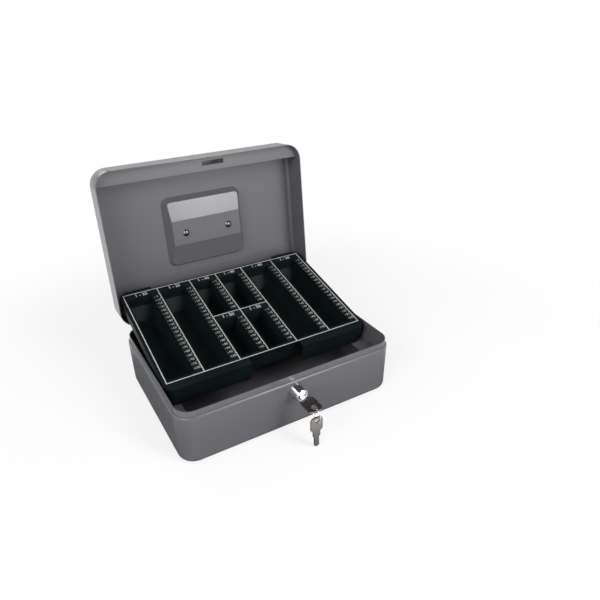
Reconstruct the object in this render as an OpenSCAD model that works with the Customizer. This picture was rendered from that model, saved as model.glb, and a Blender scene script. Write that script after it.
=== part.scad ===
// Cash box with a swinging lid, a lifting coin tray, a cam lock with two keys
// and a folding bail handle. Millimetres, +Z up, +X to the right seen from the
// front, +Y to the rear, origin at the middle of the underside of the body.
// The lid stands open on its stop and the coin tray leans on the rear rim.

/* [Body] */
// Width of the body at the seam
box_width = 250; // [245:1:255]
// Depth of the body at the seam
box_depth = 180; // [178:1:184]
// Height of the seam ledge above the ground
ledge_z = 57; // [56.5:0.25:57]
// Height of the top of the neck that the lid closes over
rim_z = 63; // [62.5:0.25:63.25]
// Thickness of the pressed sheet
sheet = 1; // [0.8:0.1:1.1]
// Inward slope of each body wall from seam to ground
wall_draft = 1; // [0.5:0.25:1.5]
// Radius of the four upright corners
corner_r = 19; // [18:0.5:19.5]
// Radius of the bottom edge of the body
foot_r = 7; // [5:0.5:7]
// Radius of the shoulder beside the seam
shoulder_r = 2.5; // [1.5:0.25:3]
// Inset of the neck from the body wall
neck_inset = 2; // [1.8:0.1:2]

/* [Lid] */
// Height of the closed box over the lid panel
box_height = 90; // [89.5:0.5:92]
// Gap between the closed lid and the seam ledge
seam_gap = 0.3; // [0.2:0.1:0.5]
// Radius of the top edge of the lid
lid_edge_r = 5; // [4:0.5:6]
// Angle of the lid when it stands open on its stop
lid_open_angle = 96; // [92:1:97]

/* [Handle recess] */
// Width of the recess in the lid panel
recess_width = 100; // [97:1:104]
// Front edge of the recess, distance from the middle of the box
recess_front = 44.5; // [44:0.5:47]
// Rear edge of the recess, distance from the middle of the box
recess_rear = 40; // [39:0.5:44]
// Corner radius of the recess
recess_r = 9; // [7:0.5:10]
// Depth of the flat land that carries the posts
recess_depth = 11.5; // [10.5:0.25:12]
// Depth of the finger slope, carried on to the front edge of the recess
recess_nose = 7.5; // [6:0.25:9]
// Front edge of the land, distance from the middle of the box
land_front = 17.5; // [16:0.5:20]
// Rear edge of the land, distance behind the middle of the box
land_rear = 12; // [10:1:14]
// Depth at the rear end of the recess
recess_tail = 4; // [3.75:0.25:5]
// Run of the drafted walls of the recess down to the land
recess_side = 7; // [6:0.25:7.5]

/* [Handle] */
// Distance of each post from the middle of the lid
post_x = 27.5; // [25:0.5:30]
// Distance of the posts in front of the middle of the box
post_y = 1.5; // [0:0.5:2]
// Radius of the posts
post_r = 3.5; // [3.25:0.25:4]
// Height of the bail pivot above the lid panel
pivot_rise = 0.5; // [0.25:0.25:1.5]
// Radius of the bail wire
bail_wire_r = 1.9; // [1.75:0.05:2]
// Radial running clearance of the bail in its posts
bail_fit = 0.06; // [0.03:0.01:0.09]
// Distance of each bail arm from the middle
bail_arm_x = 41; // [39:0.5:43]
// Length from the pivot to the middle of the grip bar
bail_reach = 34.5; // [33:0.5:35]
// Bend radius at the pivot end of the bail
bail_eye_bend = 4; // [3:0.5:5]
// Bend radius at the grip end of the bail
bail_grip_bend = 5; // [4:0.5:7]
// Radius of the domed handle screw heads
handle_head_r = 4.25; // [3.75:0.25:5]
// Height of the domed handle screw heads
handle_head_h = 2.2; // [1.8:0.1:2.6]
// Radius of the handle screw shank
handle_shank_r = 1.5; // [1.25:0.05:1.75]
// Length of the handle screw shank
handle_shank_len = 7; // [6:0.25:7.5]

/* [Hinges] */
// Distance of the middle of each hinge from the side of the box
hinge_end = 55; // [46:1:62]
// Distance of the hinge axis behind the rear wall
hinge_out = 3; // [3:0.1:3.3]
// Height of the hinge axis above the seam ledge
hinge_up = 2.5; // [2.3:0.1:2.7]
// Width of one hinge
hinge_width = 40; // [36:1:44]
// Gap between the hinge knuckle and the walls beside it
knuckle_air = 0.1; // [0.08:0.01:0.15]
// Radius of the hinge pin
pin_r = 1.5; // [1.3:0.05:1.6]
// Radial running clearance of the hinge pin
pin_fit = 0.05; // [0.03:0.01:0.09]
// Width of the lid's knuckle in the middle of a hinge
lid_knuckle = 17.4; // [15:0.2:18]
// End gap between neighbouring knuckles
knuckle_gap = 0.3; // [0.2:0.05:0.5]
// Thickness of the hinge leaves
leaf_t = 1.1; // [1:0.05:1.15]
// Height of the body leaf below the hinge axis
body_leaf_drop = 16.5; // [15:0.5:19]
// Height of the lid leaf above the hinge axis
lid_leaf_rise = 16.5; // [15:0.5:19]
// Width of the stop tab on the lid's knuckle
stop_width = 12; // [10:0.5:14]
// Reach of the stop tab from the hinge axis
stop_reach = 5.5; // [5:0.25:6]
// Play left between the stop tab and the body leaf
stop_play = 0.05; // [0.03:0.01:0.1]
// Distance of each rivet from the middle of its hinge
rivet_x = 13; // [12:0.5:14]
// Distance of the rivets from the hinge axis
rivet_away = 10; // [9:0.5:11]
// Radius of the rivet shanks
rivet_r = 1.5; // [1.25:0.05:1.7]
// Radius of the rivet heads
rivet_head_r = 2.6; // [2.2:0.1:3]
// Height of the rivet heads
rivet_head_h = 0.9; // [0.7:0.05:1]

/* [Lock] */
// Height of the lock axis above the ground
lock_z = 45.5; // [45:0.25:46]
// Radius of the lock housing at the wall
housing_base_r = 9; // [8:0.25:10]
// Radius of the lock housing at its face
housing_face_r = 6.75; // [6.5:0.25:7.25]
// Distance the housing stands out from the wall
housing_out = 12; // [11:0.25:13]
// Radius of the threaded neck through the wall
lock_neck_r = 6; // [5.75:0.05:6.3]
// Radial gap of the threaded neck in the wall and nut
lock_neck_gap = 0.1; // [0.05:0.05:0.2]
// Length of the threaded neck behind the wall line
lock_neck_in = 4.8; // [4.4:0.1:5.2]
// Corner radius of the lock nut
nut_r = 9; // [8.5:0.25:9.5]
// Thickness of the lock nut
nut_t = 3; // [2.5:0.1:3.4]
// Radius of the turning plug
plug_r = 4.5; // [4.25:0.05:4.75]
// Radial running clearance of the plug
plug_fit = 0.05; // [0.03:0.01:0.09]
// Distance the plug stands out of the housing face
plug_proud = 0.4; // [0.2:0.1:0.8]
// Half width of the square tail of the plug
tail_half = 2.5; // [2.3:0.05:2.7]

/* [Latch] */
// Distance of the latch cam behind the front wall line
cam_in = 7.4; // [7.2:0.1:7.6]
// Thickness of the latch cam
cam_t = 2; // [1.8:0.1:2.1]
// Radius of the hub of the cam
cam_hub_r = 6.5; // [5.5:0.25:7]
// Inner radius of the hook finger
hook_in_r = 23; // [22.75:0.25:23.5]
// Width of the hook finger
hook_w = 4; // [3:0.25:4]
// Polar angle where the finger starts when locked
hook_from = 38; // [36:1:40]
// Polar angle where the finger ends when locked
hook_to = 113; // [108:1:113]
// Width of the arm between hub and finger
hook_arm = 7; // [5:0.5:7]
// Height of the strike plate above the rim
strike_over = 2.3; // [2.2:0.1:2.5]
// Reach of the strike plate from the lid's front wall
strike_reach = 16; // [15:0.5:16.5]
// Height of the upright leg of the strike plate
strike_leg = 8; // [7:0.5:9]
// Left end of the strike slot
slot_left = -1.5; // [-2:0.25:-1]
// Right end of the strike slot
slot_right = 25.5; // [24:0.5:27]
// Width of the strike slot
slot_w = 5; // [4.6:0.2:5.4]
// Radius of the cam screw head
cam_head_r = 3; // [2.6:0.1:3.4]
// Height of the cam screw head
cam_head_h = 1.6; // [1.3:0.1:1.8]
// Radius of the cam screw shank
cam_shank_r = 1.25; // [1:0.05:1.4]

/* [Keys] */
// Thickness of the keys
key_t = 1.8; // [1.6:0.05:1.8]
// Width of the bow of the key in the lock
key_bow_w = 16; // [15:0.25:18]
// Length of the bow of the key in the lock
key_bow_l = 22; // [20:0.5:22.5]
// Corner radius of the key bows
bow_corner = 4; // [3:0.25:5]
// Distance of the bow's far edge from the housing face
key_out = 27; // [26:0.5:29]
// Radius of the ring hole in the key in the lock
key_hole_r = 3.2; // [3.1:0.05:3.4]
// Metal left beside the ring hole
key_bridge = 2.4; // [2.2:0.1:2.5]
// Width of the key blades
blade_w = 5.6; // [5:0.1:6.2]
// Thickness of the key blades
blade_t = 1.4; // [1.2:0.05:1.5]
// Side play of the blade in the keyhole
blade_play = 0.12; // [0.08:0.02:0.2]
// Length of blade inside the plug
blade_in = 13; // [11:0.5:14]
// Width of the key shoulder
neck_w = 8; // [7:0.25:8.5]
// Middle radius of the key ring
ring_r = 6.8; // [6.7:0.05:7]
// Radius of the key ring wire
ring_wire = 0.7; // [0.6:0.05:0.7]
// Distance of the ring's middle below its pivot
ring_hang = 4.4; // [4.3:0.05:4.45]
// Width of the bow of the spare key
spare_bow_w = 13.5; // [12.5:0.25:15]
// Length of the bow of the spare key
spare_bow_l = 17; // [16:0.5:18]
// Radius of the ring hole in the spare key
spare_hole_r = 2.1; // [2:0.05:2.2]
// Play between the spare key's hole and the ring wire
spare_play = 0.12; // [0.1:0.01:0.16]
// Height of the spare key's tip above the ground
spare_tip = 1.5; // [1:0.25:3]

/* [Coin tray] */
// Width of the tray over its flange
tray_width = 240; // [236:1:241]
// Length of the tray behind its front lip
tray_length = 157; // [155:0.5:157.5]
// Reach of the front lip ahead of the printed field
lip_reach = 5.5; // [4:0.5:6]
// Height of the tray
tray_height = 27.2; // [26.5:0.1:27.4]
// Setback of the troughs' front wall from the edge of the printed field
tray_front = 6.5; // [6:0.5:8]
// Slope of the tray's front wall
tray_front_draft = 2.5; // [2:0.5:3.5]
// Step of the rear flange between the two ears
tray_ear = 4; // [3:0.5:5]
// Half width of the set-back between the ears
ear_from = 82; // [76:1:90]
// Height of the slope at the rear bottom edge
tray_chamfer = 14; // [14:0.25:15]
// Length of the slope at the rear bottom edge
tray_slope_run = 20; // [18:0.5:22]
// Inset of the tray walls from the flange edge at the top
tray_wall_inset = 2; // [1.8:0.1:2.4]
// Slope of the tray's side walls
tray_side_draft = 1.5; // [1:0.25:2]
// Width of the slanted edge along the bottom of each side wall
tray_edge_in = 6.5; // [6.5:0.25:8]
// Height of the slanted edge along the bottom of each side wall
tray_edge_up = 4; // [4:0.25:6]
// Corner radius of the tray flange
tray_corner_r = 10; // [9:0.5:12]
// Thickness of the tray floor and walls
tray_floor = 1.8; // [1.6:0.1:2]
// Height of the down-turned skirt along the sides
skirt_h = 10; // [9:0.5:11]
// Height of the deep skirt under the front lip
apron_h = 23; // [21:0.5:23]
// Length of the deep skirt round the front corners
apron_turn = 16; // [14:1:20]
// Thickness of the down-turned skirt
skirt_t = 1.4; // [1.2:0.1:1.4]
// Left end of the grip notch in the front skirt
notch_left = -27; // [-30:1:-24]
// Right end of the grip notch in the front skirt
notch_right = 36; // [32:1:38]
// Rear edge of the grip notch, just ahead of the printed frame
notch_back = 4; // [3:0.25:4.25]
// Flat width left along the bottom of the round coin troughs
trough_flat = 3; // [2:0.5:6]
// Width of the flat strip right of each trough that carries its scale
scale_strip = 9; // [8:0.5:10]
// Width of the flat strip behind each trough that carries its number
label_strip = 9; // [8:0.5:11]
// Inset of the printed frame from the sides of the tray
frame_inset = 4; // [3.5:0.5:5]
// Land between a printed line and the trough right of it
line_land = 2; // [1.5:0.25:2.5]
// Wall left around each trough above the hollow underside
rib_wall = 1.8; // [1.5:0.1:2]
// Middle of the first divider from the left
divider_1 = -76; // [-79:0.5:-73]
// Middle of the second divider
divider_2 = -35.4; // [-38:0.2:-33]
// Middle of the third divider
divider_3 = -1.5; // [-4:0.5:1]
// Middle of the fourth divider
divider_4 = 33.5; // [31:0.5:36]
// Middle of the fifth divider
divider_5 = 76.4; // [73:0.2:79]
// Middle of the cross wall from the front of the tray
cross_wall = 78; // [70:1:86]
// Lean of the tray on the rear rim
tray_lean = 13; // [12.9:0.1:13.3]
// Air between the leaning tray and the metal it rests on
tray_air = 0.4; // [0.3:0.05:0.5]

/* [Tray ledges] */
// Height of the top of the tray ledges
tray_ledge_z = 37.2; // [36.8:0.2:37.2]
// Distance the ledges reach in from the side walls
tray_ledge_in = 18; // [16:0.5:18.3]
// Length of the tray ledges
tray_ledge_len = 120; // [110:2:130]
// Thickness of the tray ledges
tray_ledge_t = 1; // [0.8:0.1:1.2]
// Height of the upright flange of the tray ledges
tray_ledge_h = 9; // [7:0.5:11]

/* [Hidden] */
$fn = 96;
eps = 0.01;
steel_grey = [0.42, 0.42, 0.44];
inner_grey = [0.45, 0.45, 0.47];
bright = [0.75, 0.75, 0.77];
dull_zinc = [0.62, 0.62, 0.6];
tray_black = [0.04, 0.04, 0.045];

half_w = box_width / 2;
half_d = box_depth / 2;
hinge_x = half_w - hinge_end;
hinge_y = half_d + hinge_out;
hinge_z = ledge_z + hinge_up;
knuckle_r = hinge_out - knuckle_air;
leaf_y = hinge_y - knuckle_r;
lid_low = ledge_z + seam_gap;
panel_in = box_height - sheet;
rim_out_y = half_d - neck_inset;
rim_in_y = rim_out_y - sheet;
land_z = box_height - recess_depth;
pivot_z = box_height + pivot_rise;
bail_bore_r = bail_wire_r + bail_fit;
wall_y = -half_d;
face_y = wall_y - housing_out;
plug_front = face_y - plug_proud;
plug_bore_r = plug_r + plug_fit;
neck_bore_r = lock_neck_r + lock_neck_gap;
wall_in_y = wall_y + wall_draft * (ledge_z - lock_z + nut_r) / ledge_z + sheet;
cam_y = wall_y + cam_in;
cam_back = cam_y + cam_t;
slot_y = cam_y + cam_t / 2;
strike_z = rim_z + strike_over;
key_end = face_y - key_out;
ring_y = key_end + key_bridge / 2;
ring_low = lock_z - ring_hang - ring_r;
spare_hole_z = ring_low + ring_wire + spare_play - spare_hole_r;
spare_top = spare_hole_z + spare_hole_r + 2;
tray_under = tray_ledge_z + 0.3;
tray_box_end = tray_length - tray_ear;
tray_foot_y = tray_front + tray_front_draft;
lean_c = cos(tray_lean);
lean_s = sin(tray_lean);
foot_rest_y = rim_in_y - (rim_z + tray_air - tray_under) * lean_c / lean_s;
tray_rest_y = foot_rest_y - tray_foot_y * lean_c;
tray_rest_z = tray_under - tray_foot_y * lean_s;
tray_half = tray_width / 2 - tray_wall_inset;
ledge_x = half_w - sheet - wall_draft * (ledge_z - tray_ledge_z + tray_ledge_h) / ledge_z - 0.05;
stop_drop = (hinge_y - leaf_y - leaf_t - stop_play + stop_reach * cos(lid_open_angle))
    / sin(lid_open_angle);

// ---------- helpers ----------

// Rounded rectangle centred on the origin
module round_rect(w, d, r) {
    square([w - 2 * r, d], center = true);
    square([w, d - 2 * r], center = true);
    for (sx = [-1, 1])
        for (sy = [-1, 1])
            translate([sx * (w / 2 - r), sy * (d / 2 - r)])
                circle(r = r);
}

// Upright rounded block between two heights
module round_block(w, d, r, z0, z1) {
    translate([0, 0, z0])
        linear_extrude(height = z1 - z0)
            round_rect(w, d, r);
}

// Solid tub: one edge section carried round a rounded rectangle
module tub(w, d, r, z0, z1) {
    run_x = w - 2 * r;
    run_y = d - 2 * r;
    translate([-run_x / 2, -run_y / 2, z0])
        cube([run_x, run_y, z1 - z0]);
    for (turn = [0, 1])
        rotate([0, 0, 180 * turn]) {
            translate([run_x / 2, run_y / 2, 0])
                rotate_extrude(angle = 90)
                    children();
            translate([-run_x / 2, run_y / 2, 0])
                rotate([0, 0, 90])
                    rotate_extrude(angle = 90)
                        children();
            translate([-run_x / 2, run_y / 2, 0])
                rotate([90, 0, 90])
                    linear_extrude(height = run_x)
                        children();
            translate([run_x / 2, run_y / 2, 0])
                rotate([90, 0, 0])
                    linear_extrude(height = run_y)
                        children();
        }
}

// Edge section of the body below the seam
module body_section(r, z0, z1, low_r, top_r, slope) {
    low = r - slope;
    polygon([[0, z0], [low - low_r, z0], [low - low_r, z0 + low_r], [low, z0 + low_r],
        [r, z1 - top_r], [r - top_r, z1 - top_r], [r - top_r, z1], [0, z1]]);
    translate([low - low_r, z0 + low_r])
        circle(r = low_r);
    translate([r - top_r, z1 - top_r])
        circle(r = top_r);
}

// Edge section of the lid
module lid_section(r, z0, z1, edge_r) {
    square_h = z1 - edge_r;
    translate([0, z0])
        square([r, square_h - z0]);
    translate([0, z0])
        square([r - edge_r, z1 - z0]);
    translate([r - edge_r, square_h])
        circle(r = edge_r);
}

// Section in Y and Z drawn out along X
module along_x(x0, x1) {
    translate([x0, 0, 0])
        rotate([90, 0, 90])
            linear_extrude(height = x1 - x0)
                children();
}

// Rod along X
module rod_x(r, x0, x1) {
    translate([x0, 0, 0])
        rotate([0, 90, 0])
            cylinder(r = r, h = x1 - x0);
}

// Rod along Y
module rod_y(r, y0, y1) {
    translate([0, y1, 0])
        rotate([90, 0, 0])
            cylinder(r = r, h = y1 - y0);
}

// Moves a piece drawn on the closed lid to the open lid
module on_open_lid() {
    translate([0, hinge_y, hinge_z])
        rotate([-lid_open_angle, 0, 0])
            translate([0, -hinge_y, -hinge_z])
                children();
}

// Moves a piece drawn about the lock axis to the lock
module on_lock_axis() {
    translate([0, 0, lock_z])
        children();
}

// ---------- body ----------

module body_shell() {
    color(steel_grey)
        difference() {
            union() {
                tub(box_width, box_depth, corner_r, 0, ledge_z)
                    body_section(corner_r, 0, ledge_z, foot_r, shoulder_r, wall_draft);
                round_block(box_width - 2 * neck_inset, box_depth - 2 * neck_inset,
                    corner_r - neck_inset, ledge_z - 1, rim_z);
            }
            tub(box_width - 2 * sheet, box_depth - 2 * sheet, corner_r - sheet,
                sheet, ledge_z - sheet)
                body_section(corner_r - sheet, sheet, ledge_z - sheet,
                    foot_r - sheet, shoulder_r - sheet / 2, wall_draft);
            round_block(box_width - 2 * neck_inset - 2 * sheet,
                box_depth - 2 * neck_inset - 2 * sheet,
                corner_r - neck_inset - sheet, ledge_z - sheet - 1, rim_z + 1);
            on_lock_axis()
                rod_y(neck_bore_r, wall_y - 2, wall_y + 5);
            for (side = [-1, 1])
                for (pair = [-1, 1])
                    translate([side * hinge_x + pair * rivet_x, 0, hinge_z - rivet_away])
                        rod_y(rivet_r + 0.05, half_d - 4, half_d + 4);
        }
}

// One angle ledge on the right-hand wall
module tray_ledge() {
    translate([ledge_x - tray_ledge_in, -tray_ledge_len / 2, tray_ledge_z - tray_ledge_t])
        cube([tray_ledge_in, tray_ledge_len, tray_ledge_t]);
    translate([ledge_x - tray_ledge_t, -tray_ledge_len / 2, tray_ledge_z - tray_ledge_h])
        cube([tray_ledge_t, tray_ledge_len, tray_ledge_h - tray_ledge_t / 2]);
}

module tray_ledge_right() {
    color(inner_grey)
        tray_ledge();
}

module tray_ledge_left() {
    color(inner_grey)
        mirror([1, 0, 0])
            tray_ledge();
}

// ---------- lock ----------

module lock_housing() {
    color(bright)
        on_lock_axis()
            difference() {
                rotate([90, 0, 0])
                    rotate_extrude()
                        polygon([[0, -face_y], [housing_face_r - 0.6, -face_y],
                            [housing_face_r, -face_y - 0.6], [housing_base_r, -wall_y + 0.8],
                            [housing_base_r, -wall_y], [lock_neck_r, -wall_y],
                            [lock_neck_r, -wall_y - lock_neck_in], [0, -wall_y - lock_neck_in]]);
                rod_y(plug_bore_r, face_y - 1, wall_y + lock_neck_in + 1);
            }
}

module lock_nut() {
    color(dull_zinc)
        on_lock_axis()
            translate([0, wall_in_y + 0.05 + nut_t, 0])
                rotate([90, 0, 0])
                    difference() {
                        cylinder(r = nut_r, h = nut_t, $fn = 6);
                        translate([0, 0, -1])
                            cylinder(r = neck_bore_r, h = nut_t + 2);
                    }
}

module lock_plug() {
    shoulder_y = cam_y - 0.2;
    color(bright)
        on_lock_axis()
            difference() {
                union() {
                    rod_y(plug_r, plug_front, shoulder_y);
                    translate([-tail_half, shoulder_y - eps, -tail_half])
                        cube([2 * tail_half, cam_back - 0.1 - shoulder_y + eps, 2 * tail_half]);
                }
                translate([-blade_w / 2 - blade_play, plug_front - 1, -blade_t / 2 - blade_play])
                    cube([blade_w + 2 * blade_play, plug_proud + blade_in + 2,
                        blade_t + 2 * blade_play]);
                translate([0, 0, 2.9])
                    rod_y(0.55, plug_front - 1, plug_front + 0.5);
                rod_y(cam_shank_r + 0.02, cam_back - 5.2, cam_back + 1);
            }
}

// Outline of the hook cam in the locked position
module cam_outline() {
    reach = hook_in_r + hook_w;
    arm_mid = hook_from + 9.5;
    far = 2 * hook_in_r;
    middle = (hook_from + hook_to) / 2;
    difference() {
        union() {
            circle(r = cam_hub_r);
            rotate(arm_mid)
                translate([0, -hook_arm / 2])
                    square([hook_in_r + hook_w / 2, hook_arm]);
            intersection() {
                difference() {
                    circle(r = reach);
                    circle(r = hook_in_r);
                }
                polygon([[0, 0],
                    [far * cos(hook_from), far * sin(hook_from)],
                    [far * cos(middle), far * sin(middle)],
                    [far * cos(hook_to), far * sin(hook_to)]]);
            }
            rotate(hook_to)
                translate([hook_in_r + hook_w / 2, 0])
                    circle(r = hook_w / 2 - 0.1);
        }
        square(2 * tail_half + 0.1, center = true);
    }
}

module latch_cam() {
    color(dull_zinc)
        on_lock_axis()
            translate([0, cam_back, 0])
                rotate([90, 0, 0])
                    linear_extrude(height = cam_t)
                        rotate(-90)
                            cam_outline();
}

module cam_screw() {
    color(bright)
        on_lock_axis()
            difference() {
                union() {
                    rod_y(cam_shank_r, cam_back - 5, cam_back + 0.1);
                    rod_y(cam_head_r, cam_back, cam_back + cam_head_h);
                }
                translate([-cam_head_r, cam_back + cam_head_h - 0.7, -0.4])
                    cube([2 * cam_head_r, 1, 0.8]);
                translate([-0.4, cam_back + cam_head_h - 0.7, -cam_head_r])
                    cube([0.8, 1, 2 * cam_head_r]);
            }
}

// ---------- keys ----------

// Flat outline of a key, tip at the origin, bow along +Y
module key_outline(length, bow_w, bow_l, hole_r, bridge, tip_to_neck) {
    difference() {
        union() {
            translate([-blade_w / 2, 1.5])
                square([blade_w, length - bow_corner - 1.5]);
            polygon([[-blade_w / 2, 1.6], [-1, 0], [1, 0], [blade_w / 2, 1.6]]);
            translate([-neck_w / 2, tip_to_neck])
                square([neck_w, length - bow_corner - tip_to_neck]);
            translate([0, length - bow_l / 2])
                round_rect(bow_w, bow_l, bow_corner);
        }
        translate([0, length - bridge - hole_r])
            circle(r = hole_r);
        for (cut = [0, 1, 2])
            translate([blade_w / 2 - 1.1 + 0.3 * (cut % 2), 3 + 2.9 * cut])
                polygon([[0, 0.6], [0, 1.4], [3, 3], [3, -1]]);
    }
}

module key() {
    tip_y = face_y + blade_in;
    long = key_out + blade_in;
    thin_to = blade_in + plug_proud + 1.3;
    color(bright)
        on_lock_axis()
            translate([0, tip_y, 0])
                rotate([0, 0, 180]) {
                    translate([0, 0, -blade_t / 2])
                        linear_extrude(height = blade_t)
                            difference() {
                                key_outline(long, key_bow_w, key_bow_l, key_hole_r, key_bridge,
                                    thin_to - 1);
                                translate([-key_bow_w, thin_to + 0.7])
                                    square([2 * key_bow_w, long]);
                            }
                    translate([0, 0, -key_t / 2])
                        linear_extrude(height = key_t)
                            difference() {
                                key_outline(long, key_bow_w, key_bow_l, key_hole_r, key_bridge,
                                    thin_to - 1);
                                translate([-key_bow_w, -1])
                                    square([2 * key_bow_w, thin_to + 1]);
                            }
                }
}

module key_ring() {
    color(bright)
        translate([0, ring_y, lock_z - ring_hang])
            rotate([0, 90, 0])
                rotate_extrude()
                    translate([ring_r, 0])
                        circle(r = ring_wire);
}

module spare_key() {
    color(bright)
        translate([0, ring_y + key_t / 2, spare_tip])
            rotate([90, 0, 0])
                linear_extrude(height = key_t)
                    key_outline(spare_top - spare_tip, spare_bow_w, spare_bow_l, spare_hole_r, 2,
                        blade_in - 0.5);
}

// ---------- hinges ----------

// Body half of a hinge, middle at x = 0
module body_leaf() {
    side_w = (hinge_width - lid_knuckle) / 2 - knuckle_gap;
    plate_top = hinge_z - knuckle_r - 0.3;
    difference() {
        union() {
            translate([-hinge_width / 2, leaf_y, hinge_z - body_leaf_drop])
                cube([hinge_width, leaf_t, plate_top - hinge_z + body_leaf_drop]);
            for (side = [-1, 1])
                translate([side * (hinge_width / 2 - side_w / 2), 0, 0]) {
                    translate([-side_w / 2, leaf_y, plate_top - 1])
                        cube([side_w, leaf_t, hinge_z - plate_top + 1]);
                    translate([0, hinge_y, hinge_z])
                        rod_x(knuckle_r, -side_w / 2, side_w / 2);
                }
        }
        translate([0, hinge_y, hinge_z])
            rod_x(pin_r + pin_fit, -hinge_width, hinge_width);
        for (side = [-1, 1])
            translate([side * rivet_x, 0, hinge_z - rivet_away])
                rod_y(rivet_r + 0.05, leaf_y - 1, leaf_y + leaf_t + 1);
    }
}

// Lid half of a hinge with its stop tab, middle at x = 0, lid closed
module lid_leaf() {
    plate_low = hinge_z + knuckle_r + 0.3;
    difference() {
        union() {
            translate([-hinge_width / 2, leaf_y, plate_low])
                cube([hinge_width, leaf_t, lid_leaf_rise - knuckle_r - 0.3]);
            translate([-lid_knuckle / 2, leaf_y, hinge_z])
                cube([lid_knuckle, leaf_t, plate_low - hinge_z + 1]);
            translate([0, hinge_y, hinge_z])
                rod_x(knuckle_r, -lid_knuckle / 2, lid_knuckle / 2);
            translate([-stop_width / 2, hinge_y, hinge_z - stop_drop])
                cube([stop_width, stop_reach, stop_drop + 1]);
        }
        translate([0, hinge_y, hinge_z])
            rod_x(pin_r + pin_fit, -hinge_width, hinge_width);
        for (side = [-1, 1])
            translate([side * rivet_x, 0, hinge_z + rivet_away])
                rod_y(rivet_r + 0.05, leaf_y - 1, leaf_y + leaf_t + 1);
    }
}

module body_leaf_left() {
    color(dull_zinc)
        translate([-hinge_x, 0, 0])
            body_leaf();
}

module body_leaf_right() {
    color(dull_zinc)
        translate([hinge_x, 0, 0])
            body_leaf();
}

module lid_leaf_left() {
    color(dull_zinc)
        on_open_lid()
            translate([-hinge_x, 0, 0])
                lid_leaf();
}

module lid_leaf_right() {
    color(dull_zinc)
        on_open_lid()
            translate([hinge_x, 0, 0])
                lid_leaf();
}

module hinge_pin() {
    half = hinge_width / 2;
    translate([0, hinge_y, hinge_z]) {
        rod_x(pin_r, -half - 0.5, half + 0.5);
        rod_x(pin_r + 0.7, -half - 0.9, -half - 0.1);
        rod_x(pin_r + 0.7, half + 0.1, half + 0.9);
    }
}

module hinge_pin_left() {
    color(bright)
        translate([-hinge_x, 0, 0])
            hinge_pin();
}

module hinge_pin_right() {
    color(bright)
        translate([hinge_x, 0, 0])
            hinge_pin();
}

// One rivet through a hinge leaf and a wall
module rivet(inside) {
    rod_y(rivet_r, inside - 0.1, leaf_y + leaf_t + 0.1);
    rod_y(rivet_head_r, leaf_y + leaf_t, leaf_y + leaf_t + rivet_head_h);
    rod_y(rivet_head_r, inside - rivet_head_h, inside);
}

module body_rivets() {
    drafted = half_d - sheet - wall_draft * (ledge_z - hinge_z + rivet_away) / ledge_z - 0.05;
    color(dull_zinc)
        for (side = [-1, 1])
            for (pair = [-1, 1])
                translate([side * hinge_x + pair * rivet_x, 0, hinge_z - rivet_away])
                    rivet(drafted);
}

module lid_rivets() {
    color(dull_zinc)
        on_open_lid()
            for (side = [-1, 1])
                for (pair = [-1, 1])
                    translate([side * hinge_x + pair * rivet_x, 0, hinge_z + rivet_away])
                        rivet(half_d - sheet);
}

// ---------- lid ----------

// Floor of the handle recess in Y and Z; wall is the sheet kept below it
module recess_floor(wall) {
    top = box_height + (wall > 0 ? -sheet / 2 : 1);
    nose_z = box_height - recess_nose - wall;
    tail_z = box_height - recess_tail - wall;
    reach = recess_front + 10;
    dive = (recess_depth - recess_nose) / (recess_front - land_front);
    polygon([[-reach, top], [-reach, nose_z + dive * (reach - recess_front)],
        [-land_front - wall / 8, land_z - wall], [land_rear + wall / 4, land_z - wall],
        [recess_rear - 3 + wall / 4, tail_z], [reach, tail_z], [reach, top]]);
}

// Section of the drafted wall that is carried round the recess
module recess_wall(r, z0, z1) {
    fall = recess_side / recess_depth;
    polygon([[0, z0], [r - fall * (box_height - z0), z0],
        [r - fall * (box_height - z1), z1], [0, z1]]);
}

// Handle recess as a solid, grown by one wall thickness
module recess_block(wall) {
    low = land_z - sheet - 1;
    top = box_height + 2;
    intersection() {
        along_x(-recess_width, recess_width)
            recess_floor(wall);
        translate([0, (recess_rear - recess_front) / 2, 0])
            tub(recess_width + 2 * wall, recess_rear + recess_front + 2 * wall,
                recess_r + wall, low, top)
                recess_wall(recess_r + wall, low, top);
    }
}

module lid_shell() {
    color(steel_grey)
        on_open_lid()
            difference() {
                union() {
                    difference() {
                        tub(box_width, box_depth, corner_r, lid_low, box_height)
                            lid_section(corner_r, lid_low, box_height, lid_edge_r);
                        tub(box_width - 2 * sheet, box_depth - 2 * sheet, corner_r - sheet,
                            lid_low - 1, panel_in)
                            lid_section(corner_r - sheet, lid_low - 1, panel_in,
                                lid_edge_r - sheet);
                    }
                    recess_block(sheet);
                }
                recess_block(0);
                for (side = [-1, 1])
                    translate([side * post_x, -post_y, land_z - 3])
                        cylinder(r = handle_shank_r + 0.1, h = 6);
                for (side = [-1, 1])
                    for (pair = [-1, 1])
                        translate([side * hinge_x + pair * rivet_x, 0, hinge_z + rivet_away])
                            rod_y(rivet_r + 0.05, half_d - 4, half_d + 4);
            }
}

module strike_plate() {
    inner = half_w - sheet - 0.05;
    inner_d = half_d - sheet - 0.05;
    color(inner_grey)
        on_open_lid()
            difference() {
                intersection() {
                    round_block(2 * inner, 2 * inner_d, corner_r - sheet, strike_z,
                        strike_z + strike_leg);
                    union() {
                        translate([-half_w, -half_d, strike_z - 1])
                            cube([box_width, sheet + strike_reach, 2]);
                        translate([-half_w + corner_r, -half_d, strike_z - 1])
                            cube([box_width - 2 * corner_r, 2 * sheet, strike_leg + 2]);
                    }
                }
                translate([slot_left, slot_y - slot_w / 2, strike_z - 2])
                    cube([slot_right - slot_left, slot_w, 5]);
            }
}

// ---------- handle ----------

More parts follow.
